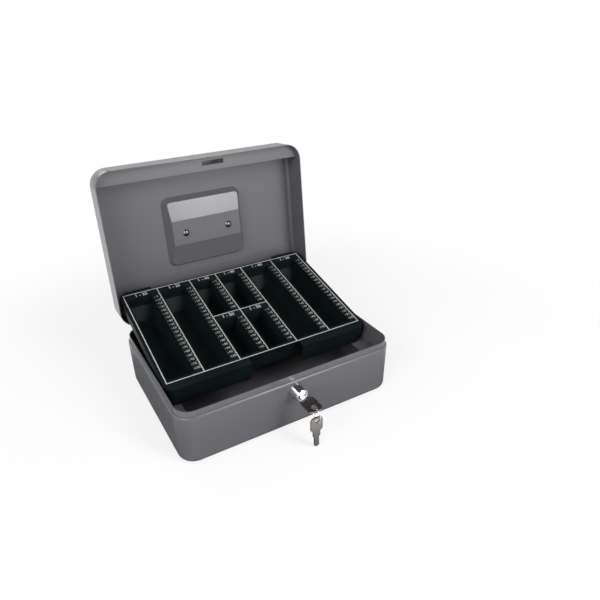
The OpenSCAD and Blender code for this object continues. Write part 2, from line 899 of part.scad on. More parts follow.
module handle_post(side) {
    translate([side * post_x, -post_y, 0])
        difference() {
            union() {
                translate([0, 0, land_z])
                    cylinder(r = post_r, h = pivot_z - land_z);
                translate([0, 0, pivot_z])
                    sphere(r = post_r);
            }
            translate([0, 0, pivot_z])
                rod_x(bail_bore_r, -10, 10);
            translate([0, 0, land_z - 1])
                cylinder(r = handle_shank_r + 0.02, h = handle_shank_len + 1.2);
        }
}

module handle_post_left() {
    color(bright)
        on_open_lid()
            handle_post(-1);
}

module handle_post_right() {
    color(bright)
        on_open_lid()
            handle_post(1);
}

module handle_screws() {
    seat = land_z - sheet;
    dome_r = (handle_head_r * handle_head_r + handle_head_h * handle_head_h)
        / (2 * handle_head_h);
    color(bright)
        on_open_lid()
            for (side = [-1, 1])
                translate([side * post_x, -post_y, 0]) {
                    translate([0, 0, seat - 0.1])
                        cylinder(r = handle_shank_r, h = handle_shank_len + sheet);
                    intersection() {
                        translate([0, 0, seat - handle_head_h + dome_r])
                            sphere(r = dome_r);
                        translate([0, 0, seat - handle_head_h - 1])
                            cylinder(r = handle_head_r + 1, h = handle_head_h + 1);
                    }
                }
}

// Half of the bail, pivot on the X axis, hanging down
module bail_half() {
    rod_x(bail_wire_r, post_x - post_r + 0.3, bail_arm_x - bail_eye_bend);
    translate([bail_arm_x - bail_eye_bend, 0, -bail_eye_bend])
        rotate([90, 0, 0])
            rotate_extrude(angle = 90)
                translate([bail_eye_bend, 0])
                    circle(r = bail_wire_r);
    translate([bail_arm_x, 0, -bail_reach + bail_grip_bend])
        cylinder(r = bail_wire_r, h = bail_reach - bail_grip_bend - bail_eye_bend);
    translate([bail_arm_x - bail_grip_bend, 0, -bail_reach + bail_grip_bend])
        rotate([90, 0, 0])
            rotate([0, 0, -90])
                rotate_extrude(angle = 90)
                    translate([bail_grip_bend, 0])
                        circle(r = bail_wire_r);
}

module handle_bail() {
    pivot_out = pivot_z - hinge_z;
    pivot_back = -post_y - hinge_y;
    open_c = cos(lid_open_angle);
    open_s = sin(lid_open_angle);
    color(bright)
        translate([0, hinge_y + pivot_back * open_c + pivot_out * open_s,
            hinge_z - pivot_back * open_s + pivot_out * open_c]) {
            bail_half();
            mirror([1, 0, 0])
                bail_half();
            translate([0, 0, -bail_reach])
                rod_x(bail_wire_r, -bail_arm_x + bail_grip_bend, bail_arm_x - bail_grip_bend);
        }
}

// ---------- coin tray ----------

// Round-bottomed cross-section of a trough in X and Z, grown by a wall
module trough_shape(x0, x1, grow) {
    mid_r = (x1 - x0 - trough_flat) / 2;
    low = tray_floor + mid_r;
    translate([x0 - grow, low])
        square([x1 - x0 + 2 * grow, tray_height]);
    translate([x0 + mid_r, tray_floor - grow])
        square([trough_flat, tray_height]);
    translate([x0 + mid_r, low])
        circle(r = mid_r + grow);
    translate([x1 - mid_r, low])
        circle(r = mid_r + grow);
}

// One coin trough between two x positions and two y positions
module trough(x0, x1, y0, y1) {
    front = tray_front + tray_floor;
    rear = tray_box_end - 2 - label_strip;
    intersection() {
        translate([0, y1, 0])
            rotate([90, 0, 0])
                linear_extrude(height = y1 - y0)
                    trough_shape(x0, x1, 0);
        along_x(x0 - 1, x1 + 1)
            polygon([[front + tray_front_draft, tray_floor - 1],
                [rear - tray_slope_run * 0.7, tray_floor - 1],
                [rear - 0.4, tray_chamfer + 0.8], [rear, tray_height + 1],
                [front, tray_height + 1]]);
    }
}

// Hollow between the troughs, open underneath
module under_hollow(starts, ends) {
    side = tray_half - tray_side_draft - rib_wall;
    long = tray_box_end - tray_slope_run - tray_foot_y - 10;
    translate([0, tray_foot_y + 3 + long, 0])
        rotate([90, 0, 0])
            linear_extrude(height = long)
                difference() {
                    translate([-side, -1])
                        square([2 * side, tray_height - tray_floor + 1]);
                    for (i = [0 : len(starts) - 1])
                        trough_shape(starts[i], ends[i], rib_wall);
                }
}

// Plate over the whole outline of the tray, inset all round
module tray_plate(inset, z0, z1) {
    translate([0, (tray_length - lip_reach) / 2, 0])
        round_block(tray_width - 2 * inset, tray_length + lip_reach - 2 * inset,
            tray_corner_r - inset, z0, z1);
}

// Down-turned skirt, deep under the front lip and shallow at the rear
module tray_skirt() {
    span = 2 * tray_width;
    difference() {
        tray_plate(0, tray_height - apron_h, tray_height - 1);
        tray_plate(skirt_t, 0, tray_height);
        translate([-tray_width, apron_turn - lip_reach, 0])
            cube([span, span, tray_height - skirt_h]);
        translate([-tray_width, tray_length - 20, 0])
            cube([span, 40, tray_height - 5]);
    }
}

module coin_tray() {
    foot_half = tray_half - tray_side_draft;
    edge_half = foot_half + tray_side_draft * tray_edge_up / tray_height;
    edge = tray_width / 2 - frame_inset;
    far = tray_length;
    strip = scale_strip;
    land = line_land;
    split = cross_wall - label_strip;
    starts = [-edge + land, divider_1 + land, divider_2 + land, divider_3 + land,
        divider_4 + land, divider_5 + land];
    ends = [divider_1 - strip, divider_2 - strip, divider_3 - strip, divider_4 - strip,
        divider_5 - strip, edge - strip];
    color(tray_black)
        translate([0, tray_rest_y, tray_rest_z])
            rotate([tray_lean, 0, 0])
                difference() {
                    union() {
                        intersection() {
                            along_x(-tray_half, tray_half)
                                polygon([[tray_foot_y, 0], [tray_box_end - 3 - tray_slope_run, 0],
                                    [tray_box_end - 1.2, tray_chamfer],
                                    [tray_box_end - 0.5, tray_height],
                                    [tray_front, tray_height]]);
                            translate([0, far, 0])
                                rotate([90, 0, 0])
                                    linear_extrude(height = far)
                                        polygon([[-foot_half + tray_edge_in, 0],
                                            [foot_half - tray_edge_in, 0],
                                            [edge_half, tray_edge_up],
                                            [tray_half, tray_height],
                                            [-tray_half, tray_height],
                                            [-edge_half, tray_edge_up]]);
                            translate([0, far / 2, 0])
                                round_block(2 * tray_half + 2, far - 2, tray_corner_r,
                                    -1, tray_height + 1);
                        }
                        tray_plate(0, tray_height - tray_floor, tray_height);
                        tray_skirt();
                    }
                    translate([-ear_from, tray_box_end, -1])
                        cube([2 * ear_from, 2 * tray_ear, tray_height + 2]);
                    translate([notch_left, -lip_reach - 1, -1])
                        cube([notch_right - notch_left, lip_reach + 1 + notch_back,
                            tray_height + 2]);
                    for (i = [0, 1, 4, 5])
                        trough(starts[i], ends[i], 0, far);
                    for (i = [2, 3]) {
                        trough(starts[i], ends[i], 0, split);
                        trough(starts[i], ends[i], cross_wall + land, far);
                    }
                    under_hollow(starts, ends);
                }
}

body_shell();
tray_ledge_left();
tray_ledge_right();
lock_housing();
lock_nut();
lock_plug();
latch_cam();
cam_screw();
key();
key_ring();
spare_key();
body_leaf_left();
body_leaf_right();
lid_leaf_left();
lid_leaf_right();
hinge_pin_left();
hinge_pin_right();
body_rivets();
lid_rivets();
lid_shell();
strike_plate();
handle_post_left();
handle_post_right();
handle_screws();
handle_bail();
coin_tray();
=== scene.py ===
"""Looks for a steel cash box: paint, bright metal, moulded tray and its printed scales."""

import logging
import math
from dataclasses import dataclass
from enum import Enum

import bmesh
import bpy
from mathutils import Matrix, Vector


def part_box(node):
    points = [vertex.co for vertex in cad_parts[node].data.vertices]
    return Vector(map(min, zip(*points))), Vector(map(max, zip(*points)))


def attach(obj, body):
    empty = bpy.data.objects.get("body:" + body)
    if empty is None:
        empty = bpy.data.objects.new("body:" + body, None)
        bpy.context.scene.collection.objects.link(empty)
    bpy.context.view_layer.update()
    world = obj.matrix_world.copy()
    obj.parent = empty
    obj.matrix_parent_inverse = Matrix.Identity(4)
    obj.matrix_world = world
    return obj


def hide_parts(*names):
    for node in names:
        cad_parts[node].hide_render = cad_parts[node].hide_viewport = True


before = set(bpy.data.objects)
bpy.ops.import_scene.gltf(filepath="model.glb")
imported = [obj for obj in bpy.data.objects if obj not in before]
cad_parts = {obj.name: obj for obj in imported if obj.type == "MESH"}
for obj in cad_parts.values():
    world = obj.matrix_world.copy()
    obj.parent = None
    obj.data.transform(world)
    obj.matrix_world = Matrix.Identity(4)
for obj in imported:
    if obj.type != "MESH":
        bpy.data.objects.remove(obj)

MM = 0.001
SENSOR_MM = 36.0
LOG = logging.getLogger("cash_box")

Socket = bpy.types.NodeSocket
Pair = tuple[float, float]
Triple = tuple[float, float, float]


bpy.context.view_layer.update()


class Body(Enum):
    """The moving groups of the box, by the names of the frame's bodies."""

    BOX = "box_body"
    LID = "lid"
    TRAY = "tray"
    BAIL = "bail"
    LOCK = "lock_core"
    RING = "ring"
    SPARE = "hanging_key"


class Slot(Enum):
    """Material slots of the record."""

    PAINT = "satin_grey_paint"
    INNER = "inner_grey_paint"
    CHROME = "bright_chrome"
    ZINC = "zinc_plate"
    KEY = "nickel_key"
    TRAY = "black_tray_plastic"


# ---------------------------------------------------------------- finishes


class Wiring:
    """Lays out and joins the nodes of a material or of the world."""

    def __init__(self, holder: bpy.types.ID, output: str) -> None:
        """Starts an empty node tree.

        Args:
            holder: The new material or world.
            output: Kind of its output node.
        """
        holder.use_nodes = True
        self.nodes = holder.node_tree.nodes
        self.links = holder.node_tree.links
        self.nodes.clear()
        self.output = self.nodes.new(output)

    def math(self, operation: str, first: Socket, second: Socket) -> Socket:
        """Works out a value from two others.

        Args:
            operation: Name of the calculation.
            first: Socket with the first value.
            second: Socket with the second value.

        Returns:
            The result socket.
        """
        node = self.nodes.new("ShaderNodeMath")
        node.operation = operation
        self.links.new(first, node.inputs[0])
        self.links.new(second, node.inputs[1])
        return node.outputs[0]

    def spread(self, value: Socket, low: float, high: float, start: float = 0.3,
               end: float = 0.7, way: str = "LINEAR") -> Socket:
        """Maps a field onto a range.

        Args:
            value: Socket with the field.
            low: Result where the field is at or below start.
            high: Result where the field is at or above end.
            start: Lower end of the field's range.
            end: Upper end of the field's range.
            way: LINEAR for a straight slope or SMOOTHSTEP for a soft one.

        Returns:
            The mapped value socket.
        """
        node = self.nodes.new("ShaderNodeMapRange")
        node.interpolation_type = way
        node.inputs["From Min"].default_value = start
        node.inputs["From Max"].default_value = end
        node.inputs["To Min"].default_value = low
        node.inputs["To Max"].default_value = high
        self.links.new(value, node.inputs["Value"])
        return node.outputs[0]

    def either(self, factor: Socket, first: Socket, second: Socket) -> Socket:
        """Mixes two shaders by a field.

        Args:
            factor: Socket with the share of the second shader.
            first: Socket of the first shader.
            second: Socket of the second shader.

        Returns:
            The mixed shader socket.
        """
        node = self.nodes.new("ShaderNodeMixShader")
        self.links.new(factor, node.inputs[0])
        self.links.new(first, node.inputs[1])
        self.links.new(second, node.inputs[2])
        return node.outputs[0]

    def plain(self, kind: str, colour: Triple, amount: float | None = None) -> Socket:
        """Adds a plain shader of one colour.

        Args:
            kind: Kind of the shader node.
            colour: Linear RGB colour.
            amount: Strength or roughness, where it isn't left as it is.

        Returns:
            The shader socket.
        """
        node = self.nodes.new(kind)
        node.inputs[0].default_value = (*colour, 1)
        if amount is not None:
            node.inputs[1].default_value = amount
        return node.outputs[0]

    def glossy(self) -> Socket:
        """Returns a socket that is 1 for rays that leave a mirroring surface."""
        return self.nodes.new("ShaderNodeLightPath").outputs["Is Glossy Ray"]

    def sight(self, *others: str) -> Socket:
        """Finds the rays that show the backdrop.

        Args:
            others: Names of further outputs of the Light Path node.

        Returns:
            A socket that is 1 for camera and transmission rays and the others named.
        """
        path = self.nodes.new("ShaderNodeLightPath")
        found = path.outputs["Is Camera Ray"]
        for name in ("Is Transmission Ray", *others):
            found = self.math("MAXIMUM", found, path.outputs[name])
        return found


class NodeSheet(Wiring):
    """A glossy shader with fields that drive its colour, gloss and relief."""

    def __init__(self, name: str) -> None:
        """Starts a new material.

        Args:
            name: Name of the new material.
        """
        self.material = bpy.data.materials.new(name)
        super().__init__(self.material, "ShaderNodeOutputMaterial")
        self.shader = self.nodes.new("ShaderNodeBsdfPrincipled")
        self.links.new(self.shader.outputs[0], self.output.inputs[0])
        self.place = self.nodes.new("ShaderNodeTexCoord").outputs["Object"]

    def noise(self, scale: float, detail: float, stretch: Triple = (1, 1, 1)) -> Socket:
        """Adds a noise field in the piece's own space.

        Args:
            scale: Waves per metre.
            detail: Number of finer octaves.
            stretch: Factor on each axis, for brushed or drawn marks.

        Returns:
            The noise value socket.
        """
        mapping = self.nodes.new("ShaderNodeMapping")
        mapping.inputs["Scale"].default_value = stretch
        self.links.new(self.place, mapping.inputs["Vector"])
        noise = self.nodes.new("ShaderNodeTexNoise")
        noise.inputs["Scale"].default_value = scale
        noise.inputs["Detail"].default_value = detail
        self.links.new(mapping.outputs[0], noise.inputs["Vector"])
        return noise.outputs[0]

    def blend(self, factor: Socket, first: Triple, second: Triple) -> Socket:
        """Mixes two colours by a field.

        Args:
            factor: Socket with the share of the second colour.
            first: Linear RGB colour.
            second: Linear RGB colour.

        Returns:
            The mixed colour socket.
        """
        node = self.nodes.new("ShaderNodeMix")
        node.data_type = "RGBA"
        node.inputs[6].default_value = (*first, 1)
        node.inputs[7].default_value = (*second, 1)
        self.links.new(factor, node.inputs[0])
        return node.outputs[2]

    def bump(self, height: Socket, distance: float, strength: float) -> None:
        """Raises the surface by a field.

        Args:
            height: Socket with the height, 0 to 1.
            distance: Height in metres of a full step.
            strength: Share of the bump that shows.
        """
        node = self.nodes.new("ShaderNodeBump")
        node.inputs["Distance"].default_value = distance
        node.inputs["Strength"].default_value = strength
        self.links.new(height, node.inputs["Height"])
        self.links.new(node.outputs[0], self.shader.inputs["Normal"])

    def link(self, value: Socket, name: str) -> None:
        """Drives a shader input with a field."""
        self.links.new(value, self.shader.inputs[name])

    def set(self, name: str, value: float) -> None:
        """Sets a constant on a shader input."""
        self.shader.inputs[name].default_value = value


def shade(colour: Triple, factor: float) -> Triple:
    """Returns a colour made lighter or darker by a factor."""
    return tuple(channel * factor for channel in colour)


@dataclass(frozen=True)
class EnamelPaint:
    """Stoved satin paint with a fine orange peel."""

    name: str
    colour: Triple
    rough: float = 0.27
    gloss: float = 0.5
    cloud_scale: float = 9.0
    cloud_share: float = 0.04
    peel_scale: float = 600.0
    peel_height: float = 0.000004
    peel_strength: float = 0.08

    def make(self) -> bpy.types.Material:
        """Builds the paint.

        Returns:
            The paint material.
        """
        sheet = NodeSheet(self.name)
        cloud = sheet.spread(sheet.noise(self.cloud_scale, detail=2.0), low=0.0, high=1.0,
                             start=0.1, end=0.9)
        sheet.link(sheet.blend(cloud, shade(self.colour, 1 - self.cloud_share),
                               shade(self.colour, 1 + self.cloud_share)), "Base Color")
        sheet.set("Roughness", self.rough)
        sheet.set("Specular IOR Level", self.gloss)
        sheet.bump(sheet.noise(self.peel_scale, detail=2.0), self.peel_height,
                   self.peel_strength)
        return sheet.material


@dataclass(frozen=True)
class BrightPlate:
    """Polished chrome or nickel with faint handling marks."""

    name: str
    colour: Triple
    rough: float = 0.08
    marks: float = 0.06
    mark_scale: float = 260.0
    mark_depth: float = 0.000015
    mark_strength: float = 0.15
    stretch: Triple = (1.0, 1.0, 1.0)
    tone_scale: float = 120.0
    dull_tone: float = 0.92

    def make(self) -> bpy.types.Material:
        """Builds the plated metal.

        Returns:
            The metal material.
        """
        sheet = NodeSheet(self.name)
        tone = sheet.spread(sheet.noise(self.tone_scale, detail=3.0), low=0.0, high=1.0)
        sheet.link(sheet.blend(tone, shade(self.colour, self.dull_tone), self.colour),
                   "Base Color")
        marks = sheet.noise(self.mark_scale, detail=5.0, stretch=self.stretch)
        sheet.link(sheet.spread(marks, self.rough, self.rough + self.marks), "Roughness")
        sheet.bump(marks, self.mark_depth, self.mark_strength)
        sheet.set("Metallic", 1.0)
        return sheet.material


@dataclass(frozen=True)
class MouldedPlastic:
    """Injection-moulded plastic with a fine spark-eroded grain."""

    name: str
    colour: Triple
    smooth: float = 0.44
    rough: float = 0.54
    gloss: float = 0.12
    tone_scale: float = 40.0
    dark_tone: float = 0.8
    light_tone: float = 1.25
    grain_scale: float = 1400.0
    grain_height: float = 0.00002
    grain_strength: float = 0.4

    def make(self) -> bpy.types.Material:
        """Builds the plastic.

        Returns:
            The plastic material.
        """
        sheet = NodeSheet(self.name)
        tone = sheet.spread(sheet.noise(self.tone_scale, detail=3.0), low=0.0, high=1.0)
        sheet.link(sheet.blend(tone, shade(self.colour, self.dark_tone),
                               shade(self.colour, self.light_tone)), "Base Color")
        grain = sheet.noise(self.grain_scale, detail=2.0)
        sheet.link(sheet.spread(grain, self.smooth, self.rough), "Roughness")
        sheet.bump(grain, self.grain_height, self.grain_strength)
        sheet.set("Specular IOR Level", self.gloss)
        return sheet.material


@dataclass(frozen=True)
class PrintedInk:
    """Thin white pad-printed ink with slightly uneven cover."""

    name: str
    colour: Triple
    rough: float = 0.5
    cover_scale: float = 500.0
    thin_tone: float = 0.78

    def make(self) -> bpy.types.Material:
        """Builds the ink.

        Returns:
            The ink material.
        """
        sheet = NodeSheet(self.name)
        cover = sheet.spread(sheet.noise(self.cover_scale, detail=4.0), low=0.0, high=1.0)
        sheet.link(sheet.blend(cover, shade(self.colour, self.thin_tone), self.colour),
                   "Base Color")
        sheet.set("Roughness", self.rough)
        return sheet.material


@dataclass(frozen=True)
class StudioWhite:
    """Pale backdrop that looks white and keeps the shadow of the box.

    Close to the box, mirroring paint sees a painted shadow: a dark floor colour that stands in
    for the box's contact shadow, so that the foot of the box stays grey.

    Attributes:
        colour: What the floor throws back onto the box.
        painted_shadow_colour: Colour of the painted contact shadow that mirroring paint sees
            close to the box.
        shadow_share: How much of the box's shadow the white floor shows.
        shadow_from: Distance from the middle, in metres, where the shadow begins to fade.
        shadow_to: Distance where it is gone.
        footprint: Half the width and half the depth of the box.
        painted_shadow_from: Distance from the box where the painted shadow begins to fade to
            white in paint.
        painted_shadow_to: Distance where the painted shadow is gone and the floor is white.
    """

    name: str = "studio_white"
    colour: Triple = (0.82, 0.82, 0.82)
    painted_shadow_colour: Triple = (0.13, 0.13, 0.13)
    white: Triple = (1.0, 1.0, 1.0)
    shadow_share: float = 0.25
    shadow_from: float = 0.25
    shadow_to: float = 0.6
    footprint: Triple = (0.125, 0.09, 0.0)
    painted_shadow_from: float = 0.02
    painted_shadow_to: float = 0.1

    def apart(self, wires: Wiring, place: Socket) -> Socket:
        """Measures how far the floor lies from the foot of the box.

        Args:
            wires: Node tree of the floor.
            place: Socket with the place on the floor.

        Returns:
            Socket with the distance in metres, below zero under the box.
        """
        folded = wires.nodes.new("ShaderNodeVectorMath")
        folded.operation = "ABSOLUTE"
        wires.links.new(place, folded.inputs[0])
        beyond = wires.nodes.new("ShaderNodeVectorMath")
        beyond.operation = "SUBTRACT"
        beyond.inputs[1].default_value = self.footprint
        wires.links.new(folded.outputs[0], beyond.inputs[0])
        sides = wires.nodes.new("ShaderNodeSeparateXYZ")
        wires.links.new(beyond.outputs[0], sides.inputs[0])
        return wires.math("MAXIMUM", sides.outputs[0], sides.outputs[1])

    def make(self) -> bpy.types.Material:
        """Builds the floor material.

        Returns:
            The floor material.
        """
        material = bpy.data.materials.new(self.name)
        wires = Wiring(material, "ShaderNodeOutputMaterial")
        matte = wires.plain("ShaderNodeBsdfDiffuse", self.colour)
        # Painted shadow: a dark floor colour seen only in reflections close to the box,
        # standing in for the box's contact shadow.
        near = wires.plain("ShaderNodeBsdfDiffuse", self.painted_shadow_colour)
        glow = wires.plain("ShaderNodeEmission", self.white, 1.0)
        place = wires.nodes.new("ShaderNodeNewGeometry").outputs["Position"]
        away = wires.nodes.new("ShaderNodeVectorMath")
        away.operation = "LENGTH"
        wires.links.new(place, away.inputs[0])
        share = wires.spread(away.outputs["Value"], 1.0 - self.shadow_share, 1.0,
                             self.shadow_from, self.shadow_to, "SMOOTHSTEP")
        # The painted shadow fades to white between these distances from the foot of the box.
        clear = wires.spread(self.apart(wires, place), 0.0, 1.0, self.painted_shadow_from,
                             self.painted_shadow_to, "SMOOTHSTEP")
        seen = wires.either(wires.glossy(), wires.either(share, matte, glow),
                            wires.either(clear, near, glow))
        picked = wires.either(wires.sight("Is Glossy Ray"), matte, seen)
        wires.links.new(picked, wires.output.inputs[0])
        return material


@dataclass(frozen=True)
class Palette:
    """All finishes of the box, made once."""

    paint: bpy.types.Material
    inner: bpy.types.Material
    chrome: bpy.types.Material
    zinc: bpy.types.Material
    nickel: bpy.types.Material
    plastic: bpy.types.Material
    ink: bpy.types.Material
    dark: bpy.types.Material

    def of(self, slot: Slot) -> bpy.types.Material:
        """Finds the finish that belongs to a material slot.

        Args:
            slot: The material slot.

        Returns:
            The finish.
        """
        return {
            Slot.PAINT: self.paint,
            Slot.INNER: self.inner,
            Slot.CHROME: self.chrome,
            Slot.ZINC: self.zinc,
            Slot.KEY: self.nickel,
            Slot.TRAY: self.plastic,
        }[slot]


def mix_palette() -> Palette:
    """Makes every finish of the box.

    Returns:
        The finished palette.
    """
    return Palette(
        paint=EnamelPaint("satin_grey", (0.104, 0.101, 0.113)).make(),
        inner=EnamelPaint("inner_grey", (0.108, 0.105, 0.117), rough=0.3).make(),
        chrome=BrightPlate("bright_chrome", (0.80, 0.80, 0.81)).make(),
        zinc=BrightPlate("zinc_plate", (0.40, 0.39, 0.37), rough=0.26, marks=0.15).make(),
        nickel=BrightPlate("nickel_key", (0.40, 0.375, 0.36), rough=0.14, marks=0.16,
                           mark_scale=90.0, stretch=(1, 8, 1)).make(),
        plastic=MouldedPlastic("black_tray", (0.0048, 0.0088, 0.0094)).make(),
        ink=PrintedInk("white_print", (0.55, 0.58, 0.56)).make(),
        # Painted dark reflection: metal colour darkened so that the domed screw heads look as
        # if they mirror dark surroundings.
        dark=BrightPlate("painted_dark_reflection_steel", (0.17, 0.15, 0.13), rough=0.2, marks=0.1).make(),
    )


# ---------------------------------------------------------------- meshes


@dataclass(frozen=True)
class MeshRules:
    """How copied meshes are cleaned and shaded: lengths in metres, angles in degrees.

    Attributes:
        weld: Points closer than this become one.
        flat: Faces that differ by less than this become one.
        sharp: Edges that bend more than this look sharp.
        fold: Edges between two broad faces look sharp from this bend on.
        broad: Least width of a broad face.
    """

    weld: float = 0.000002
    flat: float = 0.6
    sharp: float = 35.0
    fold: float = 4.0
    broad: float = 0.0035


@dataclass(frozen=True)
class Ease:
    """A small round along the sharp edges of a piece.

    Attributes:
        width: Its width in millimetres.
        steps: Number of faces across it.
        least_angle: Edges that bend less than this many degrees are left.
    """

    width: float
    steps: int = 2
    least_angle: float = 32.0


RULES = MeshRules()


def is_broad(face: bmesh.types.BMFace) -> bool:
    """Tells a flat panel from the narrow strips of a round edge."""
    rim = sum(edge.calc_length() for edge in face.edges)
    return 2 * face.calc_area() / rim > RULES.broad


def crease(mesh: bpy.types.Mesh) -> None:
    """Marks the edges that are to look sharp and keeps the flat panels flat.

    A panel keeps its own normal right up to its edges, and the strips of a round edge turn
    from one panel to the next.

    Args:
        mesh: The mesh.
    """
    work = bmesh.new()
    work.from_mesh(mesh)
    panels = {face.index: face.normal * face.calc_area() for face in work.faces
              if is_broad(face)}
    beside = {vert.index: [face.index for face in vert.link_faces if face.index in panels]
              for vert in work.verts}
    for edge in work.edges:
        bend = math.degrees(edge.calc_face_angle(math.pi))
        flats = len(edge.link_faces) == 2 and all(f.index in panels for f in edge.link_faces)
        edge.smooth = not (bend > RULES.sharp or (flats and bend > RULES.fold))
    work.to_mesh(mesh)
    work.free()
    normals = [corner.vector.copy() for corner in mesh.corner_normals]
    for face in mesh.polygons:
        for corner in face.loop_indices:
            near = [panels[i] for i in beside[mesh.loops[corner].vertex_index]
                    if math.degrees(face.normal.angle(panels[i], 0)) < RULES.sharp]
            if face.index in panels:
                normals[corner] = face.normal.copy()
            elif near:
                normals[corner] = sum(near, Vector()).normalized()
    mesh.normals_split_custom_set(normals)


def evaluated(obj: bpy.types.Object) -> bpy.types.Mesh:
    """Works out the mesh that an object has after its modifiers.

    Args:
        obj: A mesh or text object.

    Returns:
        A new mesh.
    """
    graph = bpy.context.evaluated_depsgraph_get()
    graph.update()
    return bpy.data.meshes.new_from_object(obj.evaluated_get(graph))


def settle(obj: bpy.types.Object) -> None:
    """Turns an object's modifiers into mesh and gives it clean shading.

    Args:
        obj: The object to settle.
    """
    obj.data = evaluated(obj)
    obj.modifiers.clear()
    obj.data.shade_smooth()
    crease(obj.data)


def from_bmesh(name: str, mesh: bmesh.types.BMesh) -> bpy.types.Object:
    """Links a new object that holds a bmesh.

    Args:
        name: Name of the piece.
        mesh: The built mesh, which is freed.

    Returns:
        The new object.
    """
    data = bpy.data.meshes.new(name)
    mesh.to_mesh(data)
    mesh.free()
    obj = bpy.data.objects.new(name, data)
    bpy.context.scene.collection.objects.link(obj)
    return obj


def eased_copy(node: str, ease: Ease) -> bpy.types.Object:
    """Copies a frame node with its sharp edges eased by small rounds.

    Args:
        node: Name of the frame node.
        ease: The round along its edges.

    Returns:
        The eased piece, which stands for the node.
    """
    mesh = bmesh.new()
    mesh.from_mesh(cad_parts[node].data)
    bmesh.ops.remove_doubles(mesh, verts=mesh.verts, dist=RULES.weld)
    bmesh.ops.dissolve_limit(mesh, angle_limit=math.radians(RULES.flat), verts=mesh.verts,
                             edges=mesh.edges)
    obj = from_bmesh(node + "_eased", mesh)
    bevel = obj.modifiers.new("ease", "BEVEL")
    bevel.width = ease.width * MM
    bevel.segments = ease.steps
    bevel.limit_method = "ANGLE"
    bevel.angle_limit = math.radians(ease.least_angle)
    bevel.use_clamp_overlap = True
    bevel.harden_normals = False
    settle(obj)
    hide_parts(node)
    return obj


def dress(obj: bpy.types.Object, material: bpy.types.Material, body: Body) -> None:
    """Gives a piece its finish and the body it moves with, and reports it.

    Args:
        obj: The piece.
        material: Its finish.
        body: The moving group it belongs to.
    """
    obj.data.materials.clear()
    obj.data.materials.append(material)
    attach(obj, body.value)
    LOG.info("%s: %d faces, moves with %s", obj.name, len(obj.data.polygons), body.value)


def ease_nodes(names: tuple[str, ...], ease: Ease, palette: Palette, slot: Slot,
               body: Body) -> None:
    """Eases and dresses several frame nodes alike.

    Args:
        names: Names of the frame nodes.
        ease: The round along their edges.
        palette: Finishes of the box.
        slot: Material slot of the nodes.
        body: The moving group they belong to.
    """
    for name in names:
        dress(eased_copy(name, ease), palette.of(slot), body)


# ---------------------------------------------------------------- sub-assemblies


@dataclass
class BoxBody:
    """Pressed body, its ledges and the fixed half of the hinges."""

    shell: Ease = Ease(0.35, 3)
    sheet_parts: Ease = Ease(0.2)
    pins: Ease = Ease(0.15)

    def build(self, palette: Palette) -> None:
        """Builds and dresses the body's pieces.

        Args:
            palette: Finishes of the box.
        """
        ease_nodes(("body_shell",), self.shell, palette, Slot.PAINT, Body.BOX)
        ease_nodes(("tray_ledge_left", "tray_ledge_right"), self.sheet_parts, palette,
                   Slot.INNER, Body.BOX)
        ease_nodes(("body_leaf_left", "body_leaf_right"), self.sheet_parts, palette,
                   Slot.PAINT, Body.BOX)
        ease_nodes(("hinge_pin_left", "hinge_pin_right", "body_rivets"), self.pins, palette,
                   Slot.ZINC, Body.BOX)


@dataclass
class Lid:
    """Lid pressing with its strike plate, rivets and moving hinge leaves."""

    shell: Ease = Ease(0.35, 3)
    strike: Ease = Ease(0.25)
    leaves: Ease = Ease(0.2)
    rivets: Ease = Ease(0.15)

    def build(self, palette: Palette) -> None:
        """Builds and dresses the lid's pieces.

        Args:
            palette: Finishes of the box.
        """
        ease_nodes(("lid_shell",), self.shell, palette, Slot.PAINT, Body.LID)
        ease_nodes(("strike_plate",), self.strike, palette, Slot.INNER, Body.LID)
        ease_nodes(("lid_leaf_left", "lid_leaf_right"), self.leaves, palette, Slot.PAINT,
                   Body.LID)
        ease_nodes(("lid_rivets",), self.rivets, palette, Slot.ZINC, Body.LID)


@dataclass
class Lock:
    """Cam lock: housing, nut, plug, hook cam and screw."""

    housing: Ease = Ease(0.25, 3)
    nut: Ease = Ease(0.3)
    plug: Ease = Ease(0.15)
    cam: Ease = Ease(0.2)

    def build(self, palette: Palette) -> None:
        """Builds and dresses the lock's pieces.

        Args:
            palette: Finishes of the box.
        """
        ease_nodes(("lock_housing",), self.housing, palette, Slot.CHROME, Body.BOX)
        ease_nodes(("lock_nut",), self.nut, palette, Slot.ZINC, Body.BOX)
        ease_nodes(("lock_plug",), self.plug, palette, Slot.CHROME, Body.LOCK)
        ease_nodes(("latch_cam", "cam_screw"), self.cam, palette, Slot.ZINC, Body.LOCK)


@dataclass
class Keys:
    """Key in the lock, ring and spare key."""

    blank: Ease = Ease(0.2)
    ring: Ease = Ease(0.1)

    def build(self, palette: Palette) -> None:
        """Builds and dresses the keys and their ring.

        Args:
            palette: Finishes of the box.
        """
        ease_nodes(("key",), self.blank, palette, Slot.KEY, Body.LOCK)
        ease_nodes(("key_ring",), self.ring, palette, Slot.CHROME, Body.RING)
        ease_nodes(("spare_key",), self.blank, palette, Slot.KEY, Body.SPARE)


@dataclass
class Handle:
    """Posts, domed screws and the wire bail."""

    posts: Ease = Ease(0.2)
    screws: Ease = Ease(0.2)
    bail: Ease = Ease(0.1)

    def build(self, palette: Palette) -> None:
        """Builds and dresses the handle's pieces.

        Args:
            palette: Finishes of the box.
        """
        ease_nodes(("handle_post_left", "handle_post_right"), self.posts, palette,
                   Slot.CHROME, Body.LID)
        # The domed screws get the darkened metal, a painted dark reflection.
        dress(eased_copy("handle_screws", self.screws), palette.dark, Body.LID)
        ease_nodes(("handle_bail",), self.bail, palette, Slot.CHROME, Body.BAIL)


@dataclass(frozen=True)
class Tick:
    """A short printed mark beside a trough, in millimetres.

    Attributes:
        start: Distance of its left end from the line on its right.
        end: Distance of its right end from that line.
        half: Half its width.
        shift: Its place after the figure, in steps of the scale.
    """

    start: float
    end: float
    half: float
    shift: float


